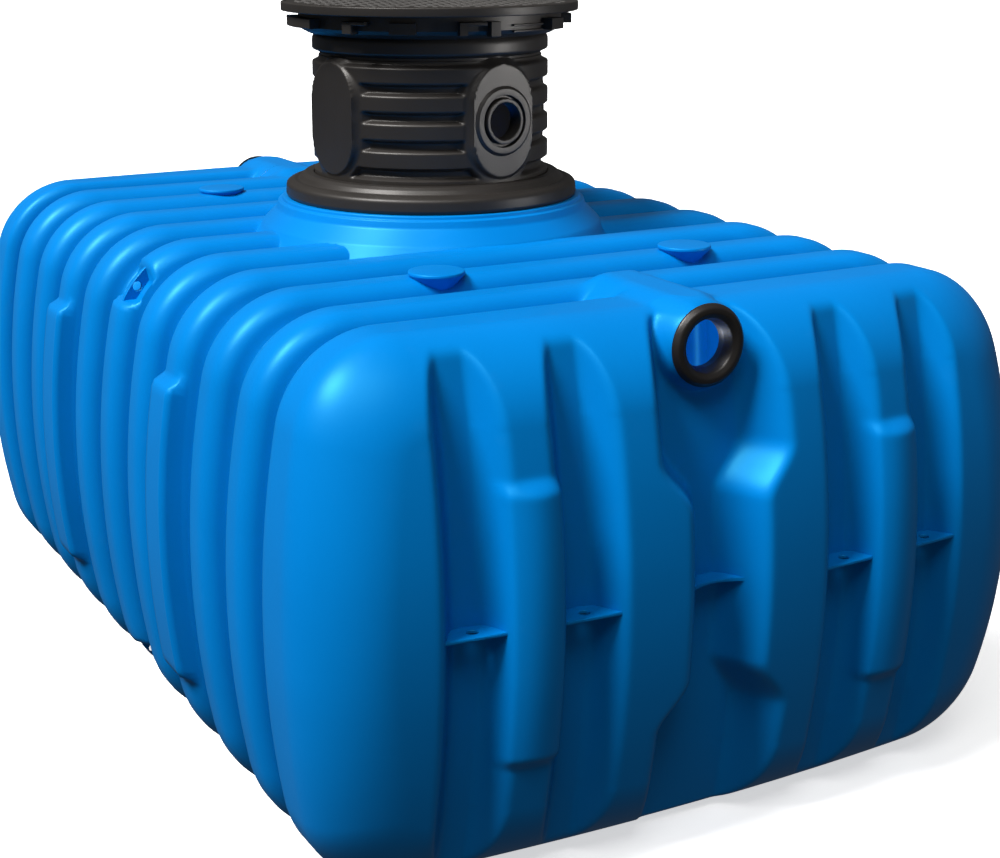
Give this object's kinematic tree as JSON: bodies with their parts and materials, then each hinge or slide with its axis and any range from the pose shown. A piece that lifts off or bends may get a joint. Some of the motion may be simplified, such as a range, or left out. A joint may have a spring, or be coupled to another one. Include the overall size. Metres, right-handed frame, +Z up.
{
  "type": "underground cistern",
  "caption": "Ribbed blue plastic underground cistern with cushion-shaped grooved ends, a raised access neck, a black beaded riser with pipe port and a round lift-off lid.",
  "frame": {"origin": "point on the floor under the middle of the tank", "axes": "+X across the tank to its right as seen from the front, +Y along it towards the back end, +Z up"},
  "size_m": [2.032, 3.067, 1.904],
  "materials": {
    "blue_shell": "satin moulded plastic",
    "black_plastic": "satin moulded plastic",
    "black_rubber": "dull rubber"
  },
  "bodies": {
    "tank": {"tank_roof": "blue_shell", "tank_floor": "blue_shell", "left_wall": "blue_shell", "right_wall": "blue_shell", "upper_left_corner": "blue_shell", "upper_right_corner": "blue_shell", "lower_left_corner": "blue_shell", "lower_right_corner": "blue_shell", "front_rim": "blue_shell", "back_rim": "blue_shell", "front_end": "blue_shell", "back_end": "blue_shell", "access_neck": "blue_shell", "roof_bosses": "blue_shell", "floor_feet": "blue_shell", "roof_bridges": "blue_shell", "floor_bridges": "blue_shell", "left_wall_pads": "blue_shell", "right_wall_pads": "blue_shell", "left_lifting_eyes": "blue_shell", "right_lifting_eyes": "blue_shell", "front_face_pads": "blue_shell", "back_face_pads": "blue_shell", "front_tie_plates": "blue_shell", "back_tie_plates": "blue_shell", "riser_collar": "black_plastic", "riser_shaft": "black_plastic", "lid_frame": "black_plastic", "pipe_seals": "black_rubber"},
    "lid": {"lid": "black_plastic"}
  },
  "joints": [
    {"name": "lid_lift", "type": "slide", "parent": "tank", "child": "lid", "axis": [0, 0, 1], "range_m": [0, 0.35]}
  ]
}
